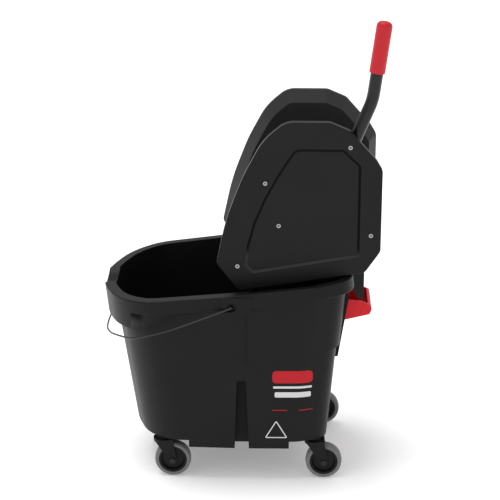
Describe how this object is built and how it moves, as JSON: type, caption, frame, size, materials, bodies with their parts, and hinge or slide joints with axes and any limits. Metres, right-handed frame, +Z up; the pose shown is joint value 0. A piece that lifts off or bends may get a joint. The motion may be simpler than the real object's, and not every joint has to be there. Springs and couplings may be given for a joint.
{
  "type": "mop bucket with wringer",
  "caption": "Black plastic mop bucket on swivel casters with a wire bail, a red rear handle and a down-press wringer worked by a bent lever.",
  "frame": {"origin": "centre of the overall plan extents, on the floor under the wheels", "axes": "+Z up, +X to the rear (wringer and red handle), -X to the pouring spout, Y across the casters"},
  "size_m": [0.5814, 0.4184, 0.9648],
  "materials": {
    "body_black": "satin",
    "wringer_black": "satin",
    "cover_black": "satin",
    "handle_red": "satin",
    "grip_red": "soft",
    "tube_black": "gloss",
    "wire_steel": "polished",
    "screw_steel": "polished",
    "pin_steel": "satin",
    "gear_nylon": "satin",
    "fork_black": "satin",
    "tyre_grey": "matte",
    "stop_rubber": "matte"
  },
  "bodies": {
    "bucket": {"tub": "body_black", "rear_handle": "handle_red", "rear_handle_screws": "screw_steel", "basket": "wringer_black", "basket_screws": "screw_steel", "rear_hook": "wringer_black", "hook_screws": "screw_steel", "near_shell": "wringer_black", "far_shell": "wringer_black", "near_cover": "cover_black", "far_cover": "cover_black", "near_cover_screws": "screw_steel", "far_cover_screws": "screw_steel", "lever_stop": "stop_rubber", "lever_pin": "pin_steel"},
    "bail": {"bail": "wire_steel"},
    "lever": {"sector_gear": "gear_nylon", "lever_tube": "tube_black", "lever_grip": "grip_red"},
    "press": {"press_rack": "gear_nylon", "press_guide": "gear_nylon", "press_head": "wringer_black"},
    "caster_front_left": {"caster_fork_front_left": "fork_black", "caster_stem_front_left": "pin_steel", "caster_axle_front_left": "pin_steel"},
    "wheel_front_left": {"wheel_hub_front_left": "fork_black", "wheel_tyre_front_left": "tyre_grey"},
    "caster_front_right": {"caster_fork_front_right": "fork_black", "caster_stem_front_right": "pin_steel", "caster_axle_front_right": "pin_steel"},
    "wheel_front_right": {"wheel_hub_front_right": "fork_black", "wheel_tyre_front_right": "tyre_grey"},
    "caster_rear_left": {"caster_fork_rear_left": "fork_black", "caster_stem_rear_left": "pin_steel", "caster_axle_rear_left": "pin_steel"},
    "wheel_rear_left": {"wheel_hub_rear_left": "fork_black", "wheel_tyre_rear_left": "tyre_grey"},
    "caster_rear_right": {"caster_fork_rear_right": "fork_black", "caster_stem_rear_right": "pin_steel", "caster_axle_rear_right": "pin_steel"},
    "wheel_rear_right": {"wheel_hub_rear_right": "fork_black", "wheel_tyre_rear_right": "tyre_grey"}
  },
  "joints": [
    {"name": "lever_swing", "type": "hinge", "parent": "bucket", "child": "lever", "pos_m": [0.155, 0, 0.56], "axis": [0, 1, 0], "range_deg": [0, 62]},
    {"name": "press_slide", "type": "slide", "parent": "bucket", "child": "press", "axis": [0, 0, -1], "range_m": [0, 0.06513]},
    {"name": "bail_swing", "type": "hinge", "parent": "bucket", "child": "bail", "pos_m": [-0.0153, 0, 0.406], "axis": [0, 1, 0], "range_deg": [-3, 110]},
    {"name": "caster_swivel_front_left", "type": "hinge", "parent": "bucket", "child": "caster_front_left", "pos_m": [-0.1633, -0.131, 0.09], "axis": [0, 0, 1], "continuous": true},
    {"name": "wheel_spin_front_left", "type": "hinge", "parent": "caster_front_left", "child": "wheel_front_left", "pos_m": [-0.1438, -0.131, 0.0381], "axis": [0, 1, 0], "continuous": true},
    {"name": "caster_swivel_front_right", "type": "hinge", "parent": "bucket", "child": "caster_front_right", "pos_m": [-0.1633, 0.131, 0.09], "axis": [0, 0, 1], "continuous": true},
    {"name": "wheel_spin_front_right", "type": "hinge", "parent": "caster_front_right", "child": "wheel_front_right", "pos_m": [-0.1438, 0.131, 0.0381], "axis": [0, 1, 0], "continuous": true},
    {"name": "caster_swivel_rear_left", "type": "hinge", "parent": "bucket", "child": "caster_rear_left", "pos_m": [0.1537, -0.131, 0.09], "axis": [0, 0, 1], "continuous": true},
    {"name": "wheel_spin_rear_left", "type": "hinge", "parent": "caster_rear_left", "child": "wheel_rear_left", "pos_m": [0.1732, -0.131, 0.0381], "axis": [0, 1, 0], "continuous": true},
    {"name": "caster_swivel_rear_right", "type": "hinge", "parent": "bucket", "child": "caster_rear_right", "pos_m": [0.1537, 0.131, 0.09], "axis": [0, 0, 1], "continuous": true},
    {"name": "wheel_spin_rear_right", "type": "hinge", "parent": "caster_rear_right", "child": "wheel_rear_right", "pos_m": [0.1732, 0.131, 0.0381], "axis": [0, 1, 0], "continuous": true}
  ],
  "couplings": [
    {"joint": "press_slide", "follows": "lever_swing", "m_per_rad": 0.06}
  ]
}
